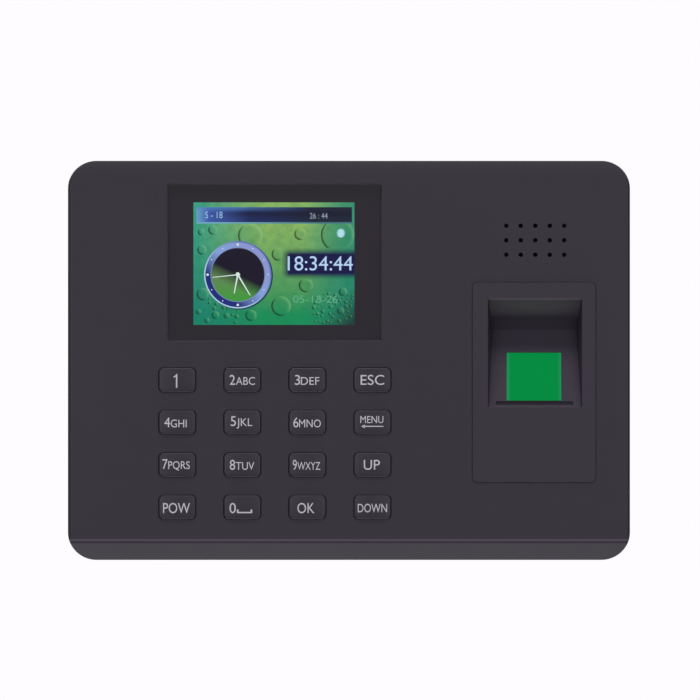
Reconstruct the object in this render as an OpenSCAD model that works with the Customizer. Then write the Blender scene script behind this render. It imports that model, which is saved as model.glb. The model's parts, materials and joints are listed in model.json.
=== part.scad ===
// Wall-mounted fingerprint time terminal with a colour screen, a sixteen-key pad, a loudspeaker
// and an optical fingerprint reader at the bottom of a sunk finger pocket.
//
// X runs to the viewer's right, Z runs up and the front faces -Y. The wall is the plane y = 0, and the
// origin is the middle of the wall plate's back. A name that ends in _d is a distance out from the wall.

/* [Case] */
// Width of the case
case_w = 188; // [187:0.5:190]
// Height of the case
case_h = 133.6; // [133:0.2:136]
// Distance from the wall to the front face
case_d = 35; // [35:0.5:38]
// Radius of the case's corners, seen from the front
corner_r = 9.4; // [8.6:0.2:10.2]
// Radius of the long rounded edges down the sides of the front
side_round = 1.3; // [0.8:0.1:1.6]
// Thickness of the side walls
side_wall = 2.4; // [2.3:0.05:2.5]
// Thickness of the front wall
front_wall = 2.5; // [2.4:0.05:2.6]
// Distance from the wall to the joint between the front and rear covers
seam_d = 14; // [13.4:0.2:14]
// Height of the sloping band along the top of the front
top_band_h = 6.7; // [6.2:0.1:7]
// How far the top band slopes back
top_band_d = 2.5; // [2:0.1:3]
// Height of the sloping band along the bottom of the front
bottom_band_h = 5.7; // [5.4:0.1:6]
// How far the bottom band slopes back
bottom_band_d = 3.6; // [3.4:0.1:3.8]
// Height of the narrow facet under the front face
crease_h = 0.7; // [0.6:0.1:0.8]
// How far that facet slopes back
crease_d = 1; // [0.8:0.1:1]
// Height of the flat strip between that facet and the bottom band
crease_strip_h = 0.65; // [0.5:0.05:0.7]

/* [Screen] */
// Width of the glossy lens
lens_w = 71.5; // [71:0.1:72]
// Height of the glossy lens
lens_h = 52.4; // [52:0.1:52.6]
// Thickness of the lens
lens_t = 1.5; // [1.2:0.1:1.5]
// Centre of the lens, across the case
lens_x = -24.9; // [-25.2:0.1:-24.6]
// Centre height of the lens
lens_z = 32.7; // [32.6:0.1:32.8]
// Width of the picture
picture_w = 53.9; // [53:0.1:54]
// Height of the picture
picture_h = 41; // [40:0.1:41.2]
// Centre of the picture, across the case
picture_x = -25.1; // [-25.4:0.1:-24.8]
// Centre height of the picture
picture_z = 32.4; // [32.2:0.1:32.6]

/* [Keys] */
// Width of a key cap
key_w = 12.4; // [12:0.1:12.6]
// Height of a key cap
key_h = 8; // [7.6:0.1:8.2]
// Corner radius of a key cap
key_r = 1.6; // [1.2:0.1:2]
// Distance between key columns
key_pitch_x = 21.75; // [21.5:0.05:21.8]
// Distance between key rows
key_pitch_z = 14.2; // [14:0.05:14.3]
// Centre of the top left key, across the case
first_key_x = -57.4; // [-57.6:0.1:-57]
// Centre height of the top left key
first_key_z = -6.5; // [-6.7:0.1:-6.3]
// Height of a key's crown above the front face
key_rise = 0.8; // [0.6:0.1:1]
// Distance that a key travels when it is pressed
key_travel = 1.2; // [1:0.1:1.2]
// Clearance between a key cap and its opening, all round
key_gap = 0.15; // [0.12:0.01:0.25]

/* [Fingerprint reader] */
// Width of the reader's bezel
bezel_w = 41.2; // [41:0.1:41.6]
// Height of the reader's bezel
bezel_h = 66.8; // [66.4:0.1:67]
// Centre of the bezel, across the case
bezel_x = 61.9; // [61.7:0.1:62]
// Centre height of the bezel
bezel_z = -7.3; // [-7.4:0.1:-7.2]
// Width of the finger pocket at its mouth
pocket_w = 31.5; // [31:0.1:32]
// Width of the finger pocket at its deepest line
pocket_floor_w = 28; // [27.6:0.1:28.6]
// Centre of the finger pocket, across the case
pocket_x = 62.2; // [61.9:0.1:62.4]
// Width of the sensor glass
glass_w = 18.2; // [17.8:0.1:18.4]
// Length of the sensor glass, up its slope
glass_h = 16.6; // [16:0.1:16.8]
// Centre height of the sensor glass
glass_z = -5.4; // [-5.5:0.1:-5.3]

/* [Loudspeaker] */
// Centre of the loudspeaker, across the case
speaker_x = 62.3; // [61.5:0.1:63]
// Centre height of the loudspeaker
speaker_z = 40.2; // [40:0.1:41]
// Radius of the loudspeaker
speaker_r = 13.5; // [13.3:0.1:13.6]
// Distance between the sound holes
sound_pitch = 4.85; // [4.5:0.05:4.9]
// Radius of a sound hole
sound_hole_r = 0.75; // [0.6:0.05:0.9]
// Thickness of the front wall where the sound holes pierce it
sound_wall = 1.2; // [1:0.1:1.6]

/* [Wall plate] */
// Width of the wall plate
plate_w = 110; // [108:0.5:111]
// Height of the wall plate
plate_h = 80; // [79:0.5:80.5]
// Thickness of the wall plate
plate_t = 1.5; // [1.2:0.1:1.6]
// Distance between the wall screw holes, across
wall_hole_pitch_x = 90; // [84:0.5:96]
// Distance between the wall screw holes, up and down
wall_hole_pitch_z = 60; // [58:0.5:62]
// Radius of a wall screw hole
wall_hole_r = 2.25; // [2:0.05:2.5]
// Width of the cable window
window_w = 40; // [36:0.5:40]
// Height of the cable window
window_h = 18; // [16:0.5:18]
// Centre height of the cable window
window_z = -21; // [-22:0.5:-20]

/* [Hidden] */
$fn = 64;

case_colour = [0.22, 0.2, 0.24];
rear_colour = [0.17, 0.16, 0.18];
gloss_black = [0.05, 0.05, 0.06];
steel = [0.72, 0.73, 0.75];
board_green = [0.05, 0.3, 0.16];
sensor_green = [0.05, 0.75, 0.35];
chip_black = [0.1, 0.1, 0.11];

lens_size = [lens_w, lens_h];
lens_at = [lens_x, lens_z];
picture_size = [picture_w, picture_h];
picture_at = [picture_x, picture_z];
key_size = [key_w, key_h];
bezel_size = [bezel_w, bezel_h];
bezel_at = [bezel_x, bezel_z];
glass_size = [glass_w, glass_h];
speaker_at = [speaker_x, speaker_z];

gap = 0.1;          // clearance between two still pieces that touch
cut = 1;            // how far a cutting tool runs past the surface it opens
inner_d = case_d - front_wall;
lens_ledge_d = case_d - 1.8;
tape_t = 0.2;
lens_back_d = lens_ledge_d + tape_t;
lens_fit = 0.15;    // clearance round the lens
bezel_fit = 0.12;   // clearance round the reader's bezel
bezel_r = 1.7;

seam_gap = 0.2;     // the front cover's edge stands this far off the rear cover
rib_h = 2.5;        // height of the ribs inside the front wall

// Main board: its front face carries the key contacts
board_t = 1.6;
board_front_d = inner_d - 4.1;
board_back_d = board_front_d - board_t;
board_x = [-79, 22];
board_z = [-58, 60];
board_post_x = [-73, 18.6];
board_post_z = [-52, 3.9, 54];
board_post_r = 2.6;

// Screws: the radii of shanks, heads and pilot holes
case_screw_r = 1.45;
case_screw_head_r = 2.8;
case_pilot_r = 1.5;
small_screw_r = 1.2;
small_pilot_r = 1.25;
case_post_r = 4;
case_screw_seat_d = 8;
case_screw_x = [corner_r - case_w / 2, 32, case_w / 2 - corner_r];
case_screw_xz = [for (z = [-1, 1], x = case_screw_x) [x, z * (case_h / 2 - corner_r)]];

// Rear cover
rear_back_d = 0.4;
rear_wall = 2.4;
recess_floor_d = 4.6;
recess_inner_d = recess_floor_d + rear_wall;
hook_x = 30;
tongue_w = 20;
tongue_bottom_z = -56.5;
lock_d = 9;

// Keys
key_cols = 4;
key_rows = 4;
key_count = key_cols * key_rows;
key_top_d = case_d + key_rise;
key_back_d = inner_d - 0.9;
key_flange_front_d = inner_d - gap;
key_crown_r = 60;
dome_base_r = 4.3;
dome_top_r = 3;
dome_wall = 0.4;
mat_front_d = board_front_d + 1;
contact_r = 1.6;

// Screen module, stacked behind the lens
lcd_front_d = inner_d - gap;
lcd_back_d = lcd_front_d - 2.6;
lcd_size = picture_size + [9.1, 10];
lcd_skin = 0.4;
panel_size = lcd_size - [1.2, 1.2];
flex_w = 20;

// Reader: the pocket's profile, each point a height and a distance from the wall
bezel_d = case_d + 0.3;
bezel_back_d = bezel_d - 1.6;
bezel_ledge_d = bezel_back_d - gap;
pocket_top_z = 20.9;
pocket_rim_h = 0.5;   // the mouth's bevelled top edge: its height and depth
pocket_rim_d = 1;
pocket_bottom_z = -15.6;
knee = [12.9, case_d - 7.6];
valley = [10.2, case_d - 9.3];
floor_end_d = case_d - 0.8;
floor_slope = (floor_end_d - valley[1]) / (valley[0] - pocket_bottom_z);
glass_tilt = atan(floor_slope);
glass_d = pocket_floor_d(glass_z);
glass_x = pocket_x - 0.2;
glass_rise = 0.3;   // how far the glass stands proud of the pocket's floor
pocket_wall = 1.8;
housing_size = [26, 24];
housing_z = -7.6;
sensor_board_d = 10.9;
ear_d = 22.3;
ear_xz = [for (x = [-15.3, 15.3], z = [-14, 0]) [glass_x + x, z]];
board_screw_xz = [for (side = [-1, 1]) [glass_x + side * 11.2, housing_z + side * 9.5]];
bezel_screw_xz = [for (x = [-12, 12]) [bezel_at[0] + x, -33]];

// Loudspeaker
speaker_front_d = inner_d - 0.6;

// Sockets on the left side and the underside
usb_size = [13.1, 5.7];
usb_z = 20;
usb_mouth_x = -(case_w / 2 - side_wall - 0.3);
usb_length = 14;
usb_skin = 0.3;
usb_d = board_back_d - gap / 2 - usb_size[1] / 2;
usb_opening = [8.6, 16.4];  // depth and height of the opening that the plug's grip enters
tongue_back = 1;            // how far the socket's tongue stops behind its mouth
dc_x = -20;
dc_d = board_back_d - 5.4;
dc_length = 14.2;
reset_x = -2;
reset_d = board_back_d - 2;
floor_in_z = -(case_h / 2 - side_wall);

// ---- Shape helpers ----

// A front-view outline made solid between two distances from the wall
module slab(d0, d1) {
    translate([0, -d0, 0]) rotate([90, 0, 0]) linear_extrude(d1 - d0) children();
}

// A side-view outline, drawn as (y, z), made solid between two places across the case
module across(x0, x1) {
    translate([x0, 0, 0]) rotate([90, 0, 90]) linear_extrude(x1 - x0) children();
}

// A plan outline, drawn as (x, y), made solid between two heights
module upright(z0, z1) {
    translate([0, 0, z0]) linear_extrude(z1 - z0) children();
}

// A rectangle with round corners, centred
module rounded(size, r) {
    square([size[0] - 2 * r, size[1]], center = true);
    square([size[0], size[1] - 2 * r], center = true);
    for (x = [-1, 1], z = [-1, 1]) {
        translate([x * (size[0] / 2 - r), z * (size[1] / 2 - r)]) circle(r);
    }
}

// A block centred on a front-view place, between two distances from the wall
module block(at, size, d0, d1) {
    translate([at[0] - size[0] / 2, -d1, at[1] - size[1] / 2]) cube([size[0], d1 - d0, size[1]]);
}

// A round bar that points out from the wall
module bar(at, r, d0, d1) {
    translate([at[0], -d0, at[1]]) rotate([90, 0, 0]) cylinder(h = d1 - d0, r = r);
}

// A shape turned about an axis that points out from the wall, drawn as (radius, distance)
module turned(at, d) {
    translate([at[0], -d, at[1]]) rotate([90, 0, 0]) rotate_extrude() children();
}

// An upright round bar
module post(x, d, r, z0, z1) {
    translate([x, -d, z0]) cylinder(h = z1 - z0, r = r);
}

// A flat cable: a path of (x, d) points given a thickness along d
module ribbon(path, t, z0, z1) {
    upright(z0, z1) polygon(concat(
        [for (p = path) [p[0], -p[1]]],
        [for (i = [len(path) - 1:-1:0]) [path[i][0], -path[i][1] - t]]
    ));
}

// A screw that is driven from the wall side: its head ends at head_d and its tip at tip_d
module screw(at, shank_r, head_r, head_t, head_d, tip_d) {
    difference() {
        union() {
            bar(at, head_r, head_d - head_t, head_d);
            bar(at, shank_r, head_d - cut / 2, tip_d);
        }
        cross_recess(at, head_r, head_d - head_t);
    }
}

// The cross in a screw's head
module cross_recess(at, head_r, back_d) {
    for (size = [[head_r * 1.1, head_r * 0.28], [head_r * 0.28, head_r * 1.1]]) {
        block(at, size, back_d - cut, back_d + head_r * 0.35);
    }
}

// The case's outer form, shrunk by an inset, between two distances from the wall
function case_profile(half_h, back_d, front_d, top, bottom, crease) = [
    [-back_d, -half_h - cut],
    [-front_d + crease[1] + (bottom[0] + cut) * bottom[1] / bottom[0], -half_h - cut],
    [-front_d + crease[1], -half_h + bottom[0]],
    [-front_d + crease[1], -half_h + bottom[0] + crease[2]],
    [-front_d, -half_h + bottom[0] + crease[2] + crease[0]],
    [-front_d, half_h - top[0]],
    [-front_d + (top[0] + cut) * top[1] / top[0], half_h + cut],
    [-back_d, half_h + cut]
];

module case_form(inset, back_d, front_d, top, bottom, crease) {
    size = [case_w, case_h] - 2 * [inset, inset];
    intersection() {
        slab(back_d - cut, front_d + cut) rounded(size, corner_r - inset);
        across(-case_w / 2 - cut, case_w / 2 + cut)
            polygon(case_profile(size[1] / 2, back_d, front_d, top, bottom, crease));
    }
}

// Plan outline of the case, with its two front edges rounded
module plan_outline() {
    half = case_w / 2;
    translate([-half, side_round - case_d]) square([case_w, case_d]);
    translate([side_round - half, -case_d]) square([case_w - 2 * side_round, case_d]);
    for (side = [-1, 1]) translate([side * (half - side_round), side_round - case_d]) circle(side_round);
}

// Moves a drawing on to the sensor glass: x across, y up the slope, z out of the glass
module on_glass() {
    translate([glass_x, -glass_d, glass_z]) rotate([90 - glass_tilt, 0, 0]) children();
}

// Distance of the pocket's floor from the wall, at a height
function pocket_floor_d(z) = valley[1] + (valley[0] - z) * floor_slope;

// Centre of a key, counted along the rows from the top left
function key_at(i) = [
    first_key_x + (i % key_cols) * key_pitch_x,
    first_key_z - floor(i / key_cols) * key_pitch_z
];

// ---- Covers ----

module front_shell() {
    top = [top_band_h, top_band_d];
    bottom = [bottom_band_h, bottom_band_d];
    crease = [crease_h, crease_d, crease_strip_h];
    inner_crease = [0.1, 0.1, 0.1];
    difference() {
        intersection() {
            case_form(0, seam_d + seam_gap, case_d, top, bottom, crease);
            upright(-case_h, case_h) plan_outline();
        }
        case_form(side_wall, seam_d - cut, inner_d, top - [2.2, 0.8], bottom - [1.4, 0.3], inner_crease);
    }
}

// Bosses, posts and ribs on the inside of the front wall
module front_fittings() {
    root_d = inner_d + 0.4;
    for (at = case_screw_xz) bar(at, case_post_r - 0.4, seam_d + 0.4, root_d);
    for (x = board_post_x, z = board_post_z) bar([x, z], board_post_r, board_front_d + gap, root_d);
    difference() {
        bar(speaker_at, speaker_r + 1.7, inner_d - rib_h, root_d);
        bar(speaker_at, speaker_r + 0.3, inner_d - rib_h - cut, inner_d);
    }
    for (side = [-1, 1]) {
        block(picture_at + [side * (lcd_size[0] / 2 + 0.8), 0], [1, 34], inner_d - rib_h, root_d);
    }
    block(picture_at + [0, lcd_size[1] / 2 + 0.8], [40, 1], inner_d - rib_h, root_d);
}

module front_cover() {
    far_d = case_d + cut;
    window = picture_size + [3, 2.4];
    color(case_colour) difference() {
        union() {
            front_shell();
            front_fittings();
        }
        // Rebate for the rear cover's lip
        slab(seam_d - cut, seam_d + 2.2) rounded([case_w, case_h] - [2.4, 2.4], corner_r - 1.2);
        // Lens seat and window
        slab(lens_ledge_d, far_d) translate(lens_at) rounded(lens_size + 2 * [lens_fit, lens_fit], 0.5);
        slab(inner_d - cut, far_d) translate(picture_at) rounded(window, 0.8);
        // Key openings
        for (i = [0:key_count - 1]) {
            slab(inner_d - cut, far_d) translate(key_at(i))
                rounded(key_size + 2 * [key_gap, key_gap], key_r + key_gap);
        }
        // Sound holes, through a thinned wall
        bar(speaker_at, speaker_r - 1.5, inner_d - cut, case_d - sound_wall);
        for (x = [-2:2], z = [-1:1]) bar(speaker_at + sound_pitch * [x, z], sound_hole_r, inner_d, far_d);
        // Seat and opening for the fingerprint reader
        slab(bezel_ledge_d, far_d) translate(bezel_at)
            rounded(bezel_size + 2 * [bezel_fit, bezel_fit], bezel_r + bezel_fit);
        block([pocket_x, 2.5], [pocket_w + 4.2, 40.2], inner_d - cut, far_d);
        for (at = bezel_screw_xz) bar(at, 3.3, inner_d - cut, far_d);
        // Pilot holes
        for (at = case_screw_xz) bar(at, case_pilot_r, seam_d, 25);
        for (x = board_post_x, z = board_post_z) {
            bar([x, z], small_pilot_r, board_front_d - cut, inner_d - 0.5);
        }
        // Sockets in the left side and the underside
        translate([-case_w / 2 - cut, 0, 0]) rotate([90, 0, 90]) linear_extrude(side_wall + 2 * cut)
            translate([-usb_d, usb_z]) rounded(usb_opening, 1);
        post(dc_x, dc_d, 4.8, -case_h / 2 - cut, floor_in_z + cut);
        post(reset_x, reset_d, 1.5, -case_h / 2 - cut, floor_in_z + cut);
    }
}

// Walls, screw posts and pads of the rear cover, before its openings are cut
module rear_body() {
    inside = [case_w, case_h] - 2 * [side_wall, side_wall];
    inner_r = corner_r - side_wall;
    difference() {
        slab(rear_back_d, seam_d) rounded([case_w, case_h], corner_r);
        slab(rear_back_d + rear_wall, seam_d + cut) rounded(inside, inner_r);
    }
    difference() {
        slab(seam_d - cut, seam_d + 2) rounded([case_w, case_h] - [2.7, 2.7], corner_r - 1.35);
        slab(seam_d - 2 * cut, seam_d + 3) rounded(inside, inner_r);
    }
    block([0, -2.5], [117, 92], rear_back_d + 2, recess_inner_d);
    block([0, -54], [28, 20], rear_back_d + 2, recess_inner_d);
    block([0, -64], [12, 5], rear_back_d + 2, seam_d - 0.6);
    for (at = case_screw_xz) bar(at, case_post_r, rear_back_d + 1, seam_d);
}

module rear_cover() {
    out_d = rear_back_d - cut;
    color(rear_colour) difference() {
        rear_body();
        // Recess for the wall plate, and the channel for its tongue
        slab(out_d, recess_floor_d) translate([0, -2.5]) rounded([112, 87], 4.5);
        block([0, -50], [tongue_w + 4, 25.2], out_d, recess_floor_d);
        // Slots for the plate's hooks and for its bent tongue
        for (side = [-1, 1]) block([side * hook_x, 31.4], [11.5, 7.6], out_d, recess_inner_d + cut);
        block([0, -57.8], [tongue_w + 2.5, 8.4], out_d, recess_inner_d + cut);
        // Cable window
        slab(out_d, recess_inner_d + cut) translate([0, window_z]) rounded([window_w + 4, window_h + 4], 2);
        // Case screw holes, sunk from the back
        for (at = case_screw_xz) {
            bar(at, case_screw_head_r + 0.4, out_d, case_screw_seat_d);
            bar(at, case_screw_r + 0.2, out_d, seam_d + cut);
        }
        // Lock screw hole, sunk from below
        post(0, lock_d, case_screw_head_r + 0.4, -case_h / 2 - cut, -case_h / 2 + 2.6);
        post(0, lock_d, case_screw_r + 0.2, -case_h / 2 - cut, -60);
    }
}

module wall_plate() {
    color(steel) difference() {
        union() {
            slab(0, plate_t) rounded([plate_w, plate_h], 4);
            // Hooks that hold the case: a stem out from the wall, then a finger upwards
            for (side = [-1, 1]) {
                block([side * hook_x, 34.25], [10, plate_t], 0, recess_inner_d + 2);
                block([side * hook_x, 36.75], [10, 6.5], recess_inner_d + 0.5, recess_inner_d + 2);
            }
            // Tongue with a bent end that takes the lock screw
            block([0, (tongue_bottom_z - 38) / 2], [tongue_w, -38 - tongue_bottom_z], 0, plate_t);
            block([0, tongue_bottom_z + plate_t / 2], [tongue_w, plate_t], 0, lock_d + 3.4);
        }
        for (x = [-1, 1], z = [-1, 1]) {
            bar([x * wall_hole_pitch_x, z * wall_hole_pitch_z] / 2, wall_hole_r, -cut, plate_t + cut);
        }
        slab(-cut, plate_t + cut) translate([0, window_z]) rounded([window_w, window_h], 1.5);
        post(0, lock_d, case_pilot_r, tongue_bottom_z - cut, tongue_bottom_z + plate_t + cut);
    }
}

// ---- Screen ----

module screen_lens() {
    color([0.3, 0.32, 0.36, 0.3])
        slab(lens_back_d, lens_back_d + lens_t) translate(lens_at) rounded(lens_size, 0.35);
}

// Black adhesive mask that holds the lens and frames the picture
module lens_tape() {
    color(gloss_black) difference() {
        slab(lens_ledge_d, lens_back_d) translate(lens_at) rounded(lens_size - [0.4, 0.4], 0.3);
        slab(lens_ledge_d - cut, case_d) translate(picture_at) square(picture_size, center = true);
    }
}

module lcd_frame() {
    color(steel) difference() {
        block(picture_at, lcd_size, lcd_back_d, lcd_front_d);
        block(picture_at, lcd_size - 2 * [lcd_skin, lcd_skin], lcd_back_d - cut, lcd_front_d - lcd_skin);
        block(picture_at, picture_size + [1.6, 1.2], lcd_back_d, lcd_front_d + cut);
        // Notch for the flex cable
        block(picture_at - [0, lcd_size[1] / 2], [flex_w + 3, 2], lcd_back_d - cut, lcd_front_d - lcd_skin);
    }
}

module lcd_panel() {
    color([0.1, 0.45, 0.25]) block(picture_at, panel_size, lcd_back_d + 1.1, lcd_front_d - lcd_skin - gap);
}

module lcd_backlight() {
    color("white") block(picture_at, panel_size, lcd_back_d, lcd_back_d + 1);
}

module lcd_foam() {
    color(chip_black) difference() {
        block(picture_at, [56, 44], board_front_d + gap, lcd_back_d - gap);
        block(picture_at, [44, 32], board_front_d, lcd_back_d);
    }
}

// Flat cable from the screen's lower edge down to its socket on the board
module lcd_flex() {
    z_top = picture_at[1] - panel_size[1] / 2 - gap;
    d_top = lcd_back_d + 1.6;
    z_low = z_top - 2.6;
    d_low = board_front_d + 0.7;
    t = 0.3;
    color([0.75, 0.45, 0.12]) across(picture_at[0] - flex_w / 2, picture_at[0] + flex_w / 2) polygon([
        [-d_top, z_top],
        [-d_top, z_low + 0.6],
        [-d_low - 0.6, z_low],
        [-d_low - 0.6 - t, z_low],
        [-d_top - t, z_low + 0.6 - t],
        [-d_top - t, z_top]
    ]);
}

// ---- Keys ----

// Rubber sheet with one hollow dome under each key
module keypad_mat() {
    size = [3 * key_pitch_x + 14.7, 3 * key_pitch_z + 12.4];
    middle = (key_at(0) + key_at(key_count - 1)) / 2;
    dome_top_d = key_back_d - gap;
    dome_h = dome_top_d - mat_front_d;
    color([0.75, 0.74, 0.72]) difference() {
        union() {
            slab(board_front_d + gap / 2, mat_front_d) translate(middle) rounded(size, 2);
            for (i = [0:key_count - 1]) {
                translate([key_at(i)[0], -mat_front_d, key_at(i)[1]]) rotate([90, 0, 0])
                    cylinder(h = dome_h, r1 = dome_base_r, r2 = dome_top_r);
            }
        }
        for (i = [0:key_count - 1]) {
            bar(key_at(i), dome_base_r - dome_wall, board_front_d - cut, mat_front_d);
            turned(key_at(i), mat_front_d) polygon([
                [contact_r, 0],
                [dome_base_r - dome_wall, 0],
                [dome_top_r - dome_wall + 0.3, dome_h - 0.8],
                [contact_r, dome_h - 0.8]
            ]);
            bar(key_at(i), contact_r, board_front_d - cut, board_front_d + key_travel + gap);
        }
    }
}

// One key: a crowned cap, a flange that stops it behind the front wall, and a stem that presses its dome
module key(i) {
    at = key_at(i);
    color(case_colour) difference() {
        union() {
            intersection() {
                slab(key_back_d, key_top_d + cut) translate(at) rounded(key_size, key_r);
                translate([at[0], key_crown_r - key_top_d, at[1]]) sphere(r = key_crown_r, $fn = 128);
            }
            slab(key_back_d, key_flange_front_d) translate(at) rounded(key_size + [2.2, 2.2], key_r + 0.8);
        }
        difference() {
            slab(key_back_d - cut, key_back_d + 2.4) translate(at) rounded(key_size - [2.8, 2.6], 0.8);
            bar(at, 2.2, key_back_d - 2 * cut, key_back_d + 3);
        }
    }
}

// ---- Main board ----

module main_board() {
    middle = [(board_x[0] + board_x[1]) / 2, (board_z[0] + board_z[1]) / 2];
    size = [board_x[1] - board_x[0], board_z[1] - board_z[0]];
    color(board_green) difference() {
        union() {
            slab(board_back_d, board_front_d) translate(middle) rounded(size, 1.5);
            slab(board_back_d, board_front_d) translate([-83, usb_z]) rounded([14, 18], 1.5);
        }
        for (x = board_post_x, z = board_post_z) {
            bar([x, z], small_screw_r + 0.3, board_back_d - cut, board_front_d + cut);
        }
    }
}

// Processor, memory and power chips on the back of the board
module board_chips() {
    face = board_back_d - gap / 2;
    color(chip_black) {
        block([-32, 24], [16, 16], face - 1.4, face);
        block([-8, 28], [12, 9], face - 1.1, face);
        block([-32, 2], [11, 9], face - 1.1, face);
        block([-8, 10], [8, 8], face - 1.4, face);
        block([-58, 40], [10, 6], face - 1.6, face);
        block([5, 50], [6, 5], face - 1.5, face);
        block([-52, -50], [9, 7], face - 2, face);
    }
}

module board_capacitors() {
    face = board_back_d - gap / 2;
    color([0.2, 0.22, 0.3]) {
        for (x = [-36, -64]) bar([x, -50], 4, face - 9, face);
        bar([-66, 52], 3.1, face - 6, face);
        bar([12, 28], 3.1, face - 6, face);
    }
}

// Sockets on the board: screen, reader, loudspeaker, and two for the door and bell wiring
module board_connectors() {
    face = board_back_d - gap / 2;
    color([0.9, 0.88, 0.8]) {
        block([picture_at[0], 3.2], [flex_w + 2, 3], board_front_d + gap / 2, board_front_d + 1.2);
        block([16, -7], [7, 11], face - 4, face);
        block([17.4, 40], [6, 7], face - 4, face);
        for (x = [-10, 8]) {
            difference() {
                block([x, -40], [15, 6], face - 7, face);
                block([x, -40], [13, 4], face - 8, face - 2);
            }
        }
    }
}

module usb_port() {
    middle_x = usb_mouth_x + usb_length / 2;
    face = board_back_d - gap / 2;
    color(steel) difference() {
        block([middle_x, usb_z], [usb_length, usb_size[0]], face - usb_size[1], face);
        block([middle_x - 1, usb_z], [usb_length, usb_size[0] - 2 * usb_skin],
            face - usb_size[1] + usb_skin, face - usb_skin);
    }
}

module usb_tongue() {
    face = board_back_d - gap / 2;
    length = usb_length - tongue_back - 1.5;
    color("white")
        block([usb_mouth_x + tongue_back + length / 2, usb_z], [length, 11.2], face - 2.8, face - 0.9);
}

module dc_jack() {
    color(chip_black) difference() {
        block([dc_x, floor_in_z + 0.2 + dc_length / 2], [9, dc_length], dc_d - 5, board_back_d - gap / 2);
        post(dc_x, dc_d, 2.9, floor_in_z - cut, floor_in_z + 10.2);
    }
}

module dc_pin() {
    color(steel) post(dc_x, dc_d, 1, floor_in_z + 1, floor_in_z + 10.2);
}

module reset_switch() {
    face = board_back_d - gap / 2;
    color(steel) union() {
        block([reset_x, -54.8], [6, 4], face - 3.9, face);
        post(reset_x, reset_d, 1.1, -57.3, -56);
    }
}

// Pin that is pressed through a hole in the underside; the collar keeps it in
module reset_plunger() {
    color([0.8, 0.2, 0.2]) union() {
        post(reset_x, reset_d, 1.2, floor_in_z - 1.5, -57.6);
        post(reset_x, reset_d, 2.2, floor_in_z + 0.3, floor_in_z + 1.4);
    }
}

module battery_holder() {
    at = [-52, -24];
    face = board_back_d - gap / 2;
    color(chip_black) difference() {
        bar(at, 11.6, face - 4.4, face);
        bar(at, 10.2, face - 5, face - 1);
        block(at + [0, 9], [12, 8], face - 5, face - 1);
    }
}

module coin_cell() {
    face = board_back_d - gap / 2;
    color(steel) bar([-52, -24], 10, face - 4.3, face - 1.1);
}

// ---- Loudspeaker ----

module speaker_frame() {
    r = speaker_r;
    color([0.35, 0.36, 0.38]) turned(speaker_at, speaker_front_d - 4.9) polygon([
        [0, 0],
        [8, 0],
        [8, 1.8],
        [r - 0.6, 3.2],
        [r, 3.4],
        [r, 4.9],
        [r - 0.8, 4.9],
        [r - 0.8, 4],
        [7, 2.6],
        [0, 2.6]
    ]);
}

module speaker_cone() {
    r = speaker_r - 0.9;
    color(chip_black) turned(speaker_at, speaker_front_d - 2.2) polygon([
        [0, 0.6],
        [3.5, 0.2],
        [7, 0],
        [r - 2, 1.6],
        [r - 1, 1.8],
        [r, 1.6],
        [r, 1.9],
        [r - 1.2, 2.1],
        [r - 2.2, 1.9],
        [7, 0.4],
        [4, 0.6],
        [0, 1]
    ]);
}

module speaker_gasket() {
    color(chip_black) turned(speaker_at, speaker_front_d + gap / 2) polygon([
        [speaker_r - 1.3, 0],
        [speaker_r, 0],
        [speaker_r, 0.5],
        [speaker_r - 1.3, 0.5]
    ]);
}

module speaker_wires() {
    left = speaker_at[0] - speaker_r - gap;
    for (z = [38.6, 41]) {
        color(z < 40 ? "black" : "red")
            ribbon([[20.5, 24], [26, 24], [38, 27.4], [left, 27.4]], 1, z - 0.5, z + 0.5);
    }
}

// ---- Fingerprint reader ----

// Side outline of the finger pocket: it slopes in from the top, then its floor rises to the lower lip
module pocket_outline() {
    far = bezel_d + cut;
    polygon([
        [-far, pocket_top_z],
        [-bezel_d, pocket_top_z],
        [-bezel_d + pocket_rim_d, pocket_top_z - pocket_rim_h],
        [-knee[1], knee[0]],
        [-valley[1], valley[0]],
        [-floor_end_d, pocket_bottom_z],
        [-far, pocket_bottom_z]
    ]);
}

// The pocket's space, a little narrower at its floor than at its mouth
module pocket_space() {
    flare = (pocket_w - pocket_floor_w) / 2 / (bezel_d - valley[1]);
    deep = valley[1] - cut;
    half_deep = pocket_w / 2 - flare * (bezel_d - deep);
    half_far = pocket_w / 2 + flare * cut;
    intersection() {
        across(pocket_x - pocket_w, pocket_x + pocket_w) pocket_outline();
        upright(-30, 30) translate([pocket_x, 0]) polygon([
            [-half_far, -bezel_d - cut],
            [half_far, -bezel_d - cut],
            [half_deep, -deep],
            [-half_deep, -deep]
        ]);
    }
}

module bezel_body() {
    half = pocket_w / 2 + 1.6;
    slab(bezel_back_d, bezel_d) translate(bezel_at) rounded(bezel_size, bezel_r);
    across(pocket_x - half, pocket_x + half) polygon([
        [-bezel_back_d - 0.5, pocket_top_z + 1.4],
        [-bezel_back_d + 0.6, pocket_top_z + 1.4],
        [-knee[1] + 1.6, knee[0] + 1.2],
        [-valley[1] + pocket_wall, valley[0] + 0.8],
        [-floor_end_d + pocket_wall, pocket_bottom_z - 0.4],
        [-bezel_back_d - 0.5, pocket_bottom_z - 1.4]
    ]);
    for (at = bezel_screw_xz) bar(at, 3, inner_d - 0.2, bezel_back_d + 0.5);
    for (at = ear_xz) bar(at, 2, ear_d + 1.7, pocket_floor_d(at[1]) - 1);
}

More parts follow.
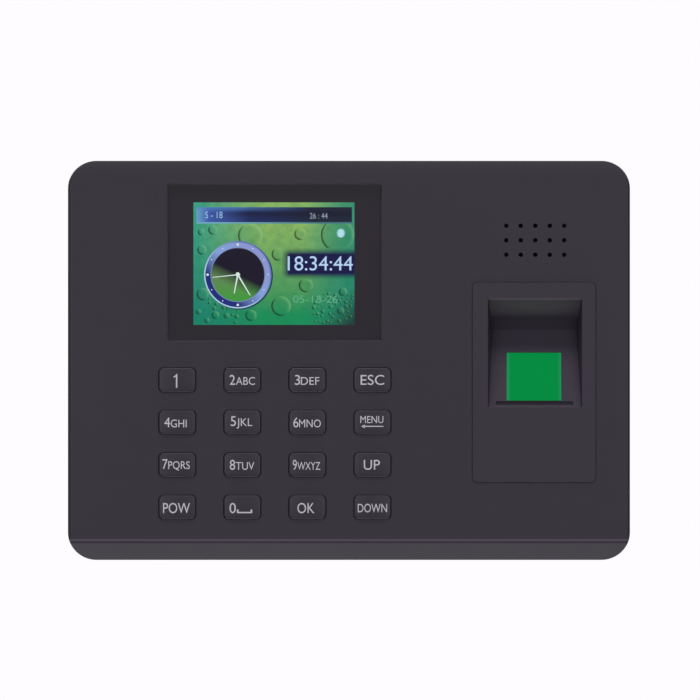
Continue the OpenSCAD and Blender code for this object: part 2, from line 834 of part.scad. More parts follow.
module sensor_bezel() {
    color(case_colour) difference() {
        bezel_body();
        pocket_space();
        // Window for the glass, and the narrow trench under it
        on_glass() translate([0, 0, -10]) linear_extrude(20) square(glass_size + [0.3, 0.3], center = true);
        on_glass() translate([0, -glass_size[1] / 2 - 1.1, -0.8]) linear_extrude(6)
            square([25.8, 1.3], center = true);
        for (at = bezel_screw_xz) bar(at, small_pilot_r, inner_d - cut, bezel_d - 0.6);
        for (at = ear_xz) bar(at, 0.85, ear_d, pocket_floor_d(at[1]) - 2.9);
    }
}

// Optical prism: its top is the glass that the finger touches, and its back slopes down to the camera
module sensor_prism() {
    half = glass_size[1] / 2;
    color(sensor_green) on_glass() translate([-glass_size[0] / 2, 0, 0]) rotate([90, 0, 90])
        linear_extrude(glass_size[0]) polygon([
            [-half, glass_rise],
            [half, glass_rise],
            [half, -2.4],
            [-half + 5, -10.4],
            [-half, -10.4]
        ]);
}

module sensor_housing() {
    back = sensor_board_d + board_t + gap / 2;
    color(chip_black) difference() {
        intersection() {
            union() {
                block([glass_x, housing_z], housing_size, back, inner_d - 0.7);
                block([glass_x, -7], [35, 19], ear_d, ear_d + 1.6);
            }
            on_glass() translate([0, 0, -pocket_wall - 40.1]) linear_extrude(40)
                square([60, 90], center = true);
        }
        block([glass_x, housing_z], [glass_size[0] + 0.3, 20.4], back - cut, case_d);
        for (at = ear_xz) bar(at, 1.1, ear_d - cut, ear_d + 2);
        for (at = board_screw_xz) bar(at, 0.85, back - cut, back + 6);
    }
}

module sensor_board() {
    color(board_green) difference() {
        block([glass_x, housing_z], [28, 28], sensor_board_d, sensor_board_d + board_t);
        for (at = board_screw_xz) bar(at, 1, sensor_board_d - cut, sensor_board_d + 2);
    }
}

// Camera that looks at the prism
module sensor_lens() {
    base = sensor_board_d + board_t + gap / 2;
    color(chip_black) union() {
        block([glass_x, housing_z], [9, 9], base, base + 2);
        bar([glass_x, housing_z], 3.6, base + 1, base + 5);
        bar([glass_x, housing_z], 2.4, base + 4, base + 6);
    }
}

// Green lamps that light the prism
module sensor_lamps() {
    base = sensor_board_d + board_t + gap / 2;
    color(sensor_green) for (x = [-1, 1], z = [-1, 1]) {
        bar([glass_x + x * 6.6, housing_z + z * 7.4], 1.5, base, base + 3.2);
    }
}

module sensor_connector() {
    color([0.9, 0.88, 0.8])
        block([glass_x - 10, housing_z], [5, 10], sensor_board_d - 2.7, sensor_board_d - gap / 2);
}

// Flat cable from the reader's board to the main board
module sensor_cable() {
    start_x = glass_x - 12.5 - gap;
    color([0.85, 0.85, 0.85]) ribbon([
        [start_x, 9],
        [44, 9],
        [30, 16],
        [25, 23.4],
        [22, 24.6],
        [19.5 + gap, 24.6]
    ], 0.9, housing_z - 4, housing_z + 4);
}

// ---- Screws ----

module case_screws() {
    color(steel) for (at = case_screw_xz) {
        screw(at, case_screw_r, case_screw_head_r, 2, case_screw_seat_d - gap / 2, 24);
    }
}

module board_screws() {
    color(steel) for (x = board_post_x, z = board_post_z) {
        screw([x, z], small_screw_r, 2.5, 1.7, board_back_d - gap / 2, inner_d - 0.8);
    }
}

module bezel_screws() {
    color(steel) for (at = bezel_screw_xz) screw(at, small_screw_r, 4.2, 1.6, inner_d - 0.25, bezel_d - 0.8);
}

module sensor_screws() {
    color(steel) {
        for (at = ear_xz) screw(at, 0.8, 1.6, 1.4, ear_d - gap / 2, pocket_floor_d(at[1]) - 3.2);
        for (at = board_screw_xz) screw(at, 0.8, 1.6, 1.4, sensor_board_d - gap / 2, sensor_board_d + 6);
    }
}

module lock_screw() {
    head_z = -case_h / 2 + 2.6 - gap / 2;
    color(steel) difference() {
        union() {
            post(0, lock_d, case_screw_head_r, head_z - 2.2, head_z);
            post(0, lock_d, case_screw_r, head_z - cut / 2, -53);
        }
        for (size = [[3.2, 0.8], [0.8, 3.2]]) {
            translate([-size[0] / 2, -lock_d - size[1] / 2, head_z - 3.2]) cube([size[0], size[1], 2]);
        }
    }
}

front_cover();
rear_cover();
wall_plate();
screen_lens();
lens_tape();
lcd_frame();
lcd_panel();
lcd_backlight();
lcd_foam();
lcd_flex();
keypad_mat();
key(0);  // key_1
key(1);  // key_2
key(2);  // key_3
key(3);  // key_esc
key(4);  // key_4
key(5);  // key_5
key(6);  // key_6
key(7);  // key_menu
key(8);  // key_7
key(9);  // key_8
key(10);  // key_9
key(11);  // key_up
key(12);  // key_pow
key(13);  // key_0
key(14);  // key_ok
key(15);  // key_down
main_board();
board_chips();
board_capacitors();
board_connectors();
usb_port();
usb_tongue();
dc_jack();
dc_pin();
reset_switch();
reset_plunger();
battery_holder();
coin_cell();
speaker_frame();
speaker_cone();
speaker_gasket();
speaker_wires();
sensor_bezel();
sensor_prism();
sensor_housing();
sensor_board();
sensor_lens();
sensor_lamps();
sensor_connector();
sensor_cable();
case_screws();
board_screws();
bezel_screws();
sensor_screws();
lock_screw();
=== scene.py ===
import json
import math
import random

import bmesh
import bpy
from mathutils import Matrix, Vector


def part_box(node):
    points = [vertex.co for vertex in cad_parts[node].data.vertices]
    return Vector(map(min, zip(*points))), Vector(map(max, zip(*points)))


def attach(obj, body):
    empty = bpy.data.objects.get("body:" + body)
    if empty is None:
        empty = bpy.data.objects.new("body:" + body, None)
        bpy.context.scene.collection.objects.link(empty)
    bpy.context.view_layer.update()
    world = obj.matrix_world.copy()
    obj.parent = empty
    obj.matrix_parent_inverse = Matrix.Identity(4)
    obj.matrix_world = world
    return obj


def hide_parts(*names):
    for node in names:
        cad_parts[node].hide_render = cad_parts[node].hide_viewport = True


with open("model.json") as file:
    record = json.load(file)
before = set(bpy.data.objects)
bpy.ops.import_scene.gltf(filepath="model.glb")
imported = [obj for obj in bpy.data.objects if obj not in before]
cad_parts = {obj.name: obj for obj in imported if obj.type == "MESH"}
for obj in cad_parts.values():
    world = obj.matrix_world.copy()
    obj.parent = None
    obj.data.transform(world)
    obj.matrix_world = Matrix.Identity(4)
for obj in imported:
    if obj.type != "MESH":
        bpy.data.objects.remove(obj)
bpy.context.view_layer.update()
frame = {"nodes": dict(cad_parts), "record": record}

# Everything is in metres in the CAD's frame: X to the viewer's right, Z up, the front faces -Y.
MM = 0.001
CASE = "case"


def srgb(red, green, blue):
    """A screen colour, 0 to 255, as the linear RGBA that shaders use."""
    def linear(value):
        v = value / 255
        return v / 12.92 if v <= 0.04045 else ((v + 0.055) / 1.055) ** 2.4
    return (linear(red), linear(green), linear(blue), 1.0)


def centre(node):
    low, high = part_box(node)
    return (low + high) / 2


# ---------------------------------------------------------------- camera and stage

VIEW_TO_CASE = 1.2451       # width of the view over the width of the case
CAMERA_DISTANCE = 3.0
CAMERA_OFFSET = (0.35 * MM, 3.5 * MM)       # to the right of the case's middle, and above it


def make_camera():
    low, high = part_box("front_cover")
    data = bpy.data.cameras.new("camera")
    data.sensor_width = 36
    data.lens = data.sensor_width * CAMERA_DISTANCE / ((high.x - low.x) * VIEW_TO_CASE)
    data.clip_start = 0.1
    data.clip_end = 30
    camera = bpy.data.objects.new("camera", data)
    camera.location = (
        (low.x + high.x) / 2 + CAMERA_OFFSET[0],
        low.y - CAMERA_DISTANCE,
        (low.z + high.z) / 2 + CAMERA_OFFSET[1],
    )
    camera.rotation_euler = (math.radians(90), 0, 0)
    bpy.context.scene.collection.objects.link(camera)
    bpy.context.scene.camera = camera


AMBIENT = 0.2
# Each lamp faces the object: its place, its width and height, and its power in watts
LAMPS = {
    "light_below": ((0.0, -0.18, -1.39), (1.6, 0.3), 9.6),
    "light_above": ((0.0, -0.5, 1.3), (1.6, 0.3), 10.8),
    "light_left": ((-1.0, -2.5, 0.2), (0.9, 1.2), 8.8),
    "light_right": ((1.0, -2.5, 0.2), (0.9, 1.2), 8.8),
}


def make_lamps():
    """Soft rectangular lamps, which the camera doesn't see."""
    for name, (location, size, watts) in LAMPS.items():
        data = bpy.data.lights.new(name, "AREA")
        data.shape = "RECTANGLE"
        data.size, data.size_y = size
        data.energy = watts
        lamp = bpy.data.objects.new(name, data)
        lamp.location = location
        lamp.rotation_mode = "QUATERNION"
        lamp.rotation_quaternion = (-Vector(location)).to_track_quat("-Z", "Y")
        lamp.visible_camera = False
        bpy.context.scene.collection.objects.link(lamp)


def make_world():
    """White behind the object, and a dimmer even light on it."""
    world = bpy.data.worlds.new("studio")
    world.use_nodes = True
    bpy.context.scene.world = world
    nodes, links = world.node_tree.nodes, world.node_tree.links
    nodes.clear()
    output = nodes.new("ShaderNodeOutputWorld")
    mix = nodes.new("ShaderNodeMixShader")
    seen = nodes.new("ShaderNodeBackground")
    seen.inputs["Color"].default_value = (1.0, 0.975, 1.0, 1)
    ambient = nodes.new("ShaderNodeBackground")
    ambient.inputs["Color"].default_value = (1, 0.98, 1, 1)
    ambient.inputs["Strength"].default_value = AMBIENT
    path = nodes.new("ShaderNodeLightPath")
    links.new(path.outputs["Is Camera Ray"], mix.inputs["Fac"])
    links.new(ambient.outputs[0], mix.inputs[1])
    links.new(seen.outputs[0], mix.inputs[2])
    links.new(mix.outputs[0], output.inputs[0])


FLOOR_RADIUS = 14
FLOOR_LEVEL = -3


def make_floor():
    """A wide pale floor, well below the object. Straight from below, it hides the object."""
    mesh = bpy.data.meshes.new("floor")
    bm = bmesh.new()
    bmesh.ops.create_circle(bm, cap_ends=True, radius=FLOOR_RADIUS, segments=64)
    bm.to_mesh(mesh)
    bm.free()
    floor = bpy.data.objects.new("floor", mesh)
    floor.location = (0, 0, FLOOR_LEVEL)
    bpy.context.scene.collection.objects.link(floor)
    material = bpy.data.materials.new("pale_floor")
    material.use_nodes = True
    shader = material.node_tree.nodes["Principled BSDF"]
    shader.inputs["Base Color"].default_value = (0.9, 0.89, 0.9, 1)
    shader.inputs["Roughness"].default_value = 0.9
    mesh.materials.append(material)


# ---------------------------------------------------------------- materials

class Tree:
    """A material's nodes, with short calls for what this scene repeats."""

    def __init__(self, name):
        self.material = bpy.data.materials.new(name)
        self.material.use_nodes = True
        self.nodes = self.material.node_tree.nodes
        self.links = self.material.node_tree.links
        self.shader = self.nodes["Principled BSDF"]

    def node(self, kind, inputs=None, **settings):
        made = self.nodes.new(kind)
        for key, value in settings.items():
            setattr(made, key, value)
        for key, value in (inputs or {}).items():
            self.feed(value, made.inputs[key])
        return made

    def feed(self, value, socket):
        if isinstance(value, bpy.types.NodeSocket):
            self.links.new(value, socket)
        else:
            socket.default_value = value

    def set(self, **inputs):
        for key, value in inputs.items():
            self.feed(value, self.shader.inputs[key.replace("_", " ")])

    def place(self):
        """The point on the object, in metres in the CAD's frame."""
        return self.node("ShaderNodeTexCoord").outputs["Object"]

    def split(self, vector):
        return self.node("ShaderNodeSeparateXYZ", {0: vector}).outputs

    def noise(self, size, detail=2.0, vector=None):
        """Noise whose blobs are about size metres across."""
        inputs = {"Scale": 1 / size, "Detail": detail, "Vector": vector or self.place()}
        return self.node("ShaderNodeTexNoise", inputs).outputs["Fac"]

    def maths(self, operation, a, b=0.0, clamp=False):
        made = self.node("ShaderNodeMath", {0: a, 1: b}, operation=operation, use_clamp=clamp)
        return made.outputs[0]

    def remap(self, value, low, high, to_low=0.0, to_high=1.0):
        inputs = {0: value, 1: low, 2: high, 3: to_low, 4: to_high}
        return self.node("ShaderNodeMapRange", inputs).outputs[0]

    def mix(self, factor, a, b):
        made = self.node("ShaderNodeMix", data_type="RGBA")
        self.feed(factor, made.inputs[0])
        self.feed(a, made.inputs[6])
        self.feed(b, made.inputs[7])
        return made.outputs[2]

    def tinted(self, colour, factor):
        """A colour, fixed or from another node, made a little darker or lighter."""
        if isinstance(colour, bpy.types.NodeSocket):
            made = self.node("ShaderNodeVectorMath", {0: colour, "Scale": factor}, operation="SCALE")
            return made.outputs[0]
        return scaled(colour, factor)

    def soft_edges(self, radius):
        """Normals that turn smoothly over sharp edges, as on a moulding."""
        return self.node("ShaderNodeBevel", {"Radius": radius}, samples=8).outputs[0]

    def bump(self, height, distance, strength=1.0, normal=None):
        inputs = {"Height": height, "Distance": distance, "Strength": strength}
        if normal is not None:
            inputs["Normal"] = normal
        self.set(Normal=self.node("ShaderNodeBump", inputs).outputs[0])


def scaled(colour, factor):
    return tuple(min(1.0, c * factor) for c in colour[:3]) + (1.0,)


def plastic_surface(t, colour, roughness, grain, depth, rounding=0.0):
    """Gives a material a moulded grain, slow changes of tone and gloss, and soft edges."""
    tone = t.noise(30 * MM, 3)
    t.set(Base_Color=t.mix(tone, t.tinted(colour, 0.98), t.tinted(colour, 1.02)))
    t.set(Roughness=t.remap(t.noise(9 * MM, 5), 0.3, 0.7, roughness - 0.02, roughness + 0.02))
    t.bump(t.noise(grain, 2), depth, 0.6, t.soft_edges(rounding) if rounding else None)


GRAIN = 0.35 * MM           # the size and depth of the case's moulded grain
GRAIN_DEPTH = 0.012 * MM


def moulded_plastic(name, colour, roughness=0.5, grain=GRAIN, depth=GRAIN_DEPTH, rounding=0.0):
    t = Tree(name)
    plastic_surface(t, colour, roughness, grain, depth, rounding)
    return t.material


CREASE_LOW = 6.25 * MM      # the crease above the case's bottom band, from the case's lowest edge
CREASE_HIGH = 7.1 * MM
CREASE_PAINTED_HIGHLIGHT = 1.75          # painted highlight: the crease, a real facet, is made paler than the face, because the lamps leave it too dim
BLUR = 0.1 * MM             # over which one tone turns into the next
CASE_ROUNDING = 0.12 * MM   # how far light runs over a sharp edge


def case_plastic(name, colour):
    """The case's plastic, with a painted highlight along the crease above its bottom band."""
    t = Tree(name)
    x, y, z = t.split(t.place())
    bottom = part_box("front_cover")[0].z
    # The band along the crease, where a painted highlight makes the plastic paler
    above = t.remap(z, bottom + CREASE_LOW - BLUR, bottom + CREASE_LOW)
    below = t.remap(z, bottom + CREASE_HIGH + BLUR, bottom + CREASE_HIGH)
    crease = t.maths("MULTIPLY", above, below)
    painted_crease_colour = t.mix(crease, colour, scaled(colour, CREASE_PAINTED_HIGHLIGHT))
    plastic_surface(t, painted_crease_colour, 0.5, GRAIN, GRAIN_DEPTH, CASE_ROUNDING)
    return t.material


POCKET_SIDE = 2 * MM        # the bezel's own left side, as far in as this, has the outside tone
POCKET_FOOT = 20 * MM       # from the bezel's bottom up to the pocket
POCKET_RIM = 5.75 * MM      # from the bezel's top down to the pocket's bevelled rim
POCKET_KNEE = 13.2 * MM     # and down to the fold between its sloping roof and its floor
RIM_HEIGHT = 0.6 * MM
RIM_PAINTED_HIGHLIGHT = 2.3              # painted highlight: the rim is made paler, like the case's crease
# Painted shading in the finger pocket: the roof darker at its top and paler low down, and the floor paler,
# than the bezel's colour
ROOF_TOP_PAINTED_SHADE = 0.45
ROOF_LOW_PAINTED_LIGHT = 1.3
FLOOR_PAINTED_LIGHT = 1.25
BEZEL_ROUNDING = 0.15 * MM


def bezel_plastic(name, colour):
    """The reader's bezel: the case's colour outside, a painted highlight along the pocket's rim, and
    painted shading inside the finger pocket.
    """
    t = Tree(name)
    x, y, z = t.split(t.place())
    low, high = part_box("sensor_bezel")
    rim_low = high.z - POCKET_RIM
    rim_high = rim_low + RIM_HEIGHT
    knee = high.z - POCKET_KNEE

    inside = t.remap(y, low.y + 0.15 * MM, low.y + 0.9 * MM)
    for edge in (
        t.remap(x, low.x + POCKET_SIDE, low.x + POCKET_SIDE + 0.6 * MM),
        t.remap(z, low.z + POCKET_FOOT, low.z + POCKET_FOOT + 1 * MM),
        t.remap(z, rim_low, rim_low - 0.3 * MM),
    ):
        inside = t.maths("MULTIPLY", inside, edge)
    # Painted highlight along the pocket's bevelled rim
    rim = t.maths("MULTIPLY", t.remap(y, low.y, low.y + BLUR), t.remap(z, rim_low - BLUR, rim_low))
    rim = t.maths("MULTIPLY", rim, t.remap(z, rim_high + BLUR, rim_high))

    # Painted shading: the roof darkens towards its top, and the floor is made paler
    painted_roof_low, painted_roof_top = scaled(colour, ROOF_LOW_PAINTED_LIGHT), scaled(colour, ROOF_TOP_PAINTED_SHADE)
    roof_painted_shading = t.mix(t.remap(z, knee, rim_low), painted_roof_low, painted_roof_top)
    above_knee = t.remap(z, knee - 0.4 * MM, knee + 0.4 * MM)
    pocket = t.mix(above_knee, scaled(colour, FLOOR_PAINTED_LIGHT), roof_painted_shading)
    outside = t.mix(rim, colour, scaled(colour, RIM_PAINTED_HIGHLIGHT))
    plastic_surface(t, t.mix(inside, outside, pocket), 0.47, GRAIN, GRAIN_DEPTH, BEZEL_ROUNDING)
    return t.material


def gloss_plastic(name, colour, roughness=0.12, variety=0.3):
    """Smooth plastic or film, whose tone and gloss vary a little from place to place."""
    t = Tree(name)
    tone = t.noise(12 * MM)
    t.set(Base_Color=t.mix(tone, scaled(colour, 1 - variety / 3), scaled(colour, 1 + variety / 3)))
    gloss = t.noise(3 * MM, 4)
    t.set(Roughness=t.remap(gloss, 0.3, 0.7, roughness * (1 - variety), roughness * (1 + variety)))
    return t.material


def metal(name, colour, roughness=0.32, brushed=True):
    """Bare or plated sheet metal, with a fine rolled grain along X."""
    t = Tree(name)
    stretch = (1, 12, 12) if brushed else (1, 1, 1)
    place = t.node("ShaderNodeMapping", {"Vector": t.place(), "Scale": stretch}).outputs[0]
    grain = t.noise(1.2 * MM, 4, place)
    t.set(Base_Color=t.mix(grain, scaled(colour, 0.88), scaled(colour, 1.08)), Metallic=1.0)
    t.set(Roughness=t.remap(grain, 0.3, 0.7, roughness - 0.07, roughness + 0.08))
    t.bump(grain, 0.01 * MM, 0.3)
    return t.material


def rubber(name, colour):
    t = Tree(name)
    t.set(Base_Color=t.mix(t.noise(5 * MM), scaled(colour, 0.9), scaled(colour, 1.1)), Roughness=0.75)
    t.bump(t.noise(0.25 * MM), 0.02 * MM, 0.5)
    return t.material


def circuit_board(name):
    """Green solder mask over copper: tracks show as a raised, lighter pattern."""
    t = Tree(name)
    cells = t.node("ShaderNodeTexVoronoi", {"Scale": 1 / (3 * MM), "Vector": t.place()},
                   distance="MANHATTAN", feature="DISTANCE_TO_EDGE").outputs["Distance"]
    track = t.remap(cells, 0.06, 0.1)
    t.set(Base_Color=t.mix(track, srgb(28, 118, 66), srgb(12, 82, 44)), Roughness=0.35)
    t.bump(track, 0.03 * MM, 0.5)
    return t.material


def clear_lens(name):
    """Polished clear acrylic, faintly smeared in places."""
    t = Tree(name)
    t.set(Base_Color=(1, 1, 1, 1), IOR=1.49, Transmission_Weight=1.0)
    t.set(Roughness=t.remap(t.noise(25 * MM, 2), 0.4, 0.8, 0.0, 0.02))
    # Lamps reach what lies behind it
    open_to_lamps = t.node("ShaderNodeMixShader", {
        0: t.node("ShaderNodeLightPath").outputs["Is Shadow Ray"],
        1: t.shader.outputs[0],
        2: t.node("ShaderNodeBsdfTransparent").outputs[0],
    })
    t.links.new(open_to_lamps.outputs[0], t.nodes["Material Output"].inputs["Surface"])
    return t.material


def ink(name, colour):
    """Pad-printed ink, a little uneven."""
    t = Tree(name)
    t.set(Base_Color=t.mix(t.noise(0.5 * MM, 3), scaled(colour, 0.9), scaled(colour, 1.05)), Roughness=0.55)
    t.bump(t.noise(0.2 * MM), 0.01 * MM, 0.4)
    return t.material


GLASS_SHINE = 0.012         # what the lens adds to the picture behind it
GLASS_CLEAR = 0.92          # and what it lets through


def glow(red, green, blue):
    """A lit colour behind the lens that is seen as the given screen colour, 0 to 255."""
    return tuple(max(0.0, (c - GLASS_SHINE) / GLASS_CLEAR) for c in srgb(red, green, blue)[:3]) + (1.0,)


def lit(t, colour, strength=1.0):
    """Makes a material glow with a colour, as a lit picture or lamp does."""
    t.set(Base_Color=(0.0, 0.0, 0.0, 1), Specular_IOR_Level=0.0)
    t.set(Emission_Color=colour, Emission_Strength=strength)
    return t.material


SENSOR_GREEN = (0, 135, 61)
SENSOR_RIM_GREEN = (34, 135, 83)


def sensor_glass(name):
    """The prism's face: lit green from behind, a little paler along its rim."""
    t = Tree(name)
    low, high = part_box("sensor_prism")
    x = t.split(t.place())[0]
    from_middle = t.maths("ABSOLUTE", t.maths("SUBTRACT", x, (low.x + high.x) / 2))
    half = (high.x - low.x) / 2
    rim = t.remap(from_middle, half - 1.1 * MM, half - 0.5 * MM)
    colour = t.mix(rim, srgb(*SENSOR_GREEN), srgb(*SENSOR_RIM_GREEN))
    t.set(Base_Color=(0.0, 0.02, 0.01, 1), Roughness=0.25, Specular_IOR_Level=0.1)
    t.set(Emission_Color=colour, Emission_Strength=1.0)
    return t.material


MATERIALS = {}
CASE_COLOUR = (48, 40, 55)


def make_materials():
    case = srgb(*CASE_COLOUR)
    MATERIALS.update({
        "case_plastic": case_plastic("case_plastic", case),
        "bezel_plastic": bezel_plastic("bezel_plastic", scaled(case, 1.12)),
        "rear_plastic": moulded_plastic("rear_plastic", scaled(case, 0.9), 0.55, rounding=0.5 * MM),
        "key_plastic": moulded_plastic("key_plastic", scaled(case, 0.88), 0.4, 0.2 * MM, 0.006 * MM),
        "zinc_steel": metal("zinc_steel", srgb(196, 198, 200)),
        "lens_clear": clear_lens("lens_clear"),
        "mask_black": gloss_plastic("mask_black", srgb(36, 27, 47), 0.4, 0.06),
        "bright_steel": metal("bright_steel", srgb(205, 206, 208), 0.25),
        "white_plastic": moulded_plastic("white_plastic", srgb(228, 228, 224)),
        "black_foam": rubber("black_foam", srgb(24, 24, 25)),
        "amber_film": gloss_plastic("amber_film", srgb(190, 120, 40), 0.3),
        "silicone_rubber": rubber("silicone_rubber", srgb(186, 184, 180)),
        "circuit_board": circuit_board("circuit_board"),
        "black_resin": moulded_plastic("black_resin", srgb(26, 26, 28), 0.55),
        "capacitor_can": metal("capacitor_can", srgb(190, 193, 200), 0.3, False),
        "ivory_plastic": moulded_plastic("ivory_plastic", srgb(222, 216, 196)),
        "red_plastic": moulded_plastic("red_plastic", srgb(186, 52, 40), 0.4),
        "speaker_metal": metal("speaker_metal", srgb(92, 93, 96), 0.4, False),
        "paper_cone": rubber("paper_cone", srgb(96, 94, 97)),
        "wire_sleeve": rubber("wire_sleeve", srgb(160, 40, 36)),
        "grey_sleeve": rubber("grey_sleeve", srgb(196, 196, 196)),
        "screw_steel": metal("screw_steel", srgb(198, 199, 201), 0.28, False),
        "legend_ink": ink("legend_ink", srgb(226, 224, 232)),
        "sensor_glass": sensor_glass("sensor_glass"),
        "green_lamp": lit(Tree("green_lamp"), srgb(40, 220, 110), 2.0),
    })
    # The panel's dark border, round its lit area
    MATERIALS["picture"] = MATERIALS["mask_black"]


# ---------------------------------------------------------------- mesh helpers

def new_piece(name, mesh, material, body=CASE):
    piece = bpy.data.objects.new(name, mesh)
    bpy.context.scene.collection.objects.link(piece)
    mesh.materials.append(material)
    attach(piece, body)
    return piece


def smooth(mesh):
    mesh.polygons.foreach_set("use_smooth", [True] * len(mesh.polygons))


def rounded_outline(width, height, radius, corner_steps=8, side_steps=6):
    """Points round a rectangle with round corners, centred on the origin, as (x, z)."""
    points = []
    for turn in range(4):
        start = math.radians(90 * turn)
        sx = 1 if turn in (0, 3) else -1
        sz = 1 if turn in (0, 1) else -1
        cx, cz = sx * (width / 2 - radius), sz * (height / 2 - radius)
        for i in range(corner_steps + 1):
            a = start + math.radians(90) * i / corner_steps
            points.append((cx + radius * math.cos(a), cz + radius * math.sin(a)))
        following = {
            0: (-(width / 2 - radius), height / 2),
            1: (-width / 2, -(height / 2 - radius)),
            2: (width / 2 - radius, -height / 2),
            3: (width / 2, height / 2 - radius),
        }[turn]
        last = points[-1]
        for i in range(1, side_steps):
            f = i / side_steps
            points.append((last[0] + (following[0] - last[0]) * f, last[1] + (following[1] - last[1]) * f))
    return points


def skin(bm, rings):
    """Quads between rings of points that match one to one, closed at both ends."""
    loops = [[bm.verts.new(p) for p in ring] for ring in rings]
    for a, b in zip(loops, loops[1:]):
        for i in range(len(a)):
            j = (i + 1) % len(a)
            bm.faces.new((a[i], a[j], b[j], b[i]))
    bm.faces.new(loops[0][::-1])
    bm.faces.new(loops[-1])


def mesh_from(bm, name):
    """A closed piece's mesh, with its faces turned outwards."""
    bmesh.ops.recalc_face_normals(bm, faces=bm.faces)
    return mesh_as_drawn(bm, name)


def flat_mesh(bm, name):
    """A flat shape's mesh, with its faces turned to the front."""
    for f in bm.faces:
        f.normal_update()
        if f.normal.y > 0:
            f.normal_flip()
    return mesh_as_drawn(bm, name)


def mesh_as_drawn(bm, name):
    mesh = bpy.data.meshes.new(name)
    bm.to_mesh(mesh)
    bm.free()
    return mesh


CAPITAL_HEIGHT = 0.729      # of the built-in font, at size 1
CONDENSED = 0.8             # the letters are drawn this much narrower than the font's


def text_mesh(text, height):
    """Flat letters as a bmesh in XZ, with the capital height given."""
    curve = bpy.data.curves.new("letters", "FONT")
    curve.body = text
    curve.resolution_u = 5
    holder = bpy.data.objects.new("letters", curve)
    bpy.context.scene.collection.objects.link(holder)
    bpy.context.view_layer.update()
    made = bpy.data.meshes.new_from_object(holder.evaluated_get(bpy.context.evaluated_depsgraph_get()))
    bm = bmesh.new()
    bm.from_mesh(made)
    bpy.data.objects.remove(holder)
    bpy.data.curves.remove(curve)
    bpy.data.meshes.remove(made)
    scale = height / CAPITAL_HEIGHT
    for v in bm.verts:
        v.co = Vector((v.co.x * scale * CONDENSED, 0, v.co.y * scale))
    return bm


def extent(bm, axis):
    values = [v.co[axis] for v in bm.verts]
    return min(values), max(values)


# ---------------------------------------------------------------- keys and their legends

KEY_FLANGE = 1.1 * MM       # how far a key's flange stands out all round
KEY_CORNER = 1.6 * MM
KEY_CROWN_RADIUS = 60 * MM
KEY_ROLL = 0.5 * MM         # the soft edge's width, seen from the front
KEY_ROLL_DEPTH = 0.35 * MM
KEY_FLANGE_THICKNESS = 0.8 * MM
KEY_FLANGE_CORNER = 2.4 * MM
KEY_FOOT = 0.02 * MM        # how much wider the cap is at its foot
KEY_ROLL_STEPS = 9


def crown_y(top_y, dx, dz):
    """Depth of the key's crowned front at a distance from its middle."""
    return top_y + (dx * dx + dz * dz) / (2 * KEY_CROWN_RADIUS)


def make_key(node):
    """A crowned cap with a soft edge, standing on the flange that stops it behind the front wall."""
    low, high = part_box(node)
    cx, _, cz = centre(node)
    flange = (high.x - low.x, high.z - low.z)
    cap = (flange[0] - 2 * KEY_FLANGE, flange[1] - 2 * KEY_FLANGE)
    top_y, back_y = low.y, high.y
    flange_y = back_y - KEY_FLANGE_THICKNESS
    rings = []

    def level(size, radius, depth):
        rings.append([(cx + x, depth, cz + z) for x, z in rounded_outline(*size, radius)])

    level(flange, KEY_FLANGE_CORNER, back_y)
    level(flange, KEY_FLANGE_CORNER, flange_y)
    level((cap[0] + KEY_FOOT, cap[1] + KEY_FOOT), KEY_CORNER, flange_y)
    for i in range(KEY_ROLL_STEPS + 1):
        a = math.radians(90) * i / KEY_ROLL_STEPS
        inset = KEY_ROLL * (1 - math.cos(a))
        drop = KEY_ROLL_DEPTH * (1 - math.sin(a))
        outline = rounded_outline(cap[0] - 2 * inset, cap[1] - 2 * inset, KEY_CORNER - inset)
        rings.append([(cx + x, crown_y(top_y, x, z) + drop, cz + z) for x, z in outline])
    for share in (0.85, 0.65, 0.45, 0.25, 0.1):
        inner = [(x * share, z * share) for x, z in outline]
        rings.append([(cx + x, crown_y(top_y, x, z), cz + z) for x, z in inner])
    bm = bmesh.new()
    skin(bm, rings)
    mesh = mesh_from(bm, node + "_cap")
    smooth(mesh)
    piece = new_piece(node + "_cap", mesh, MATERIALS["key_plastic"], node)
    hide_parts(node)


DIGIT = 3.5 * MM
LETTER = 2.75 * MM
LEGEND_GAP = 0.2 * MM
INK_LIFT = 0.03 * MM
INK_STROKE = 0.34 * MM
INK_PATCH = 0.9 * MM        # the letters are cut this small, so that they lie on the curve
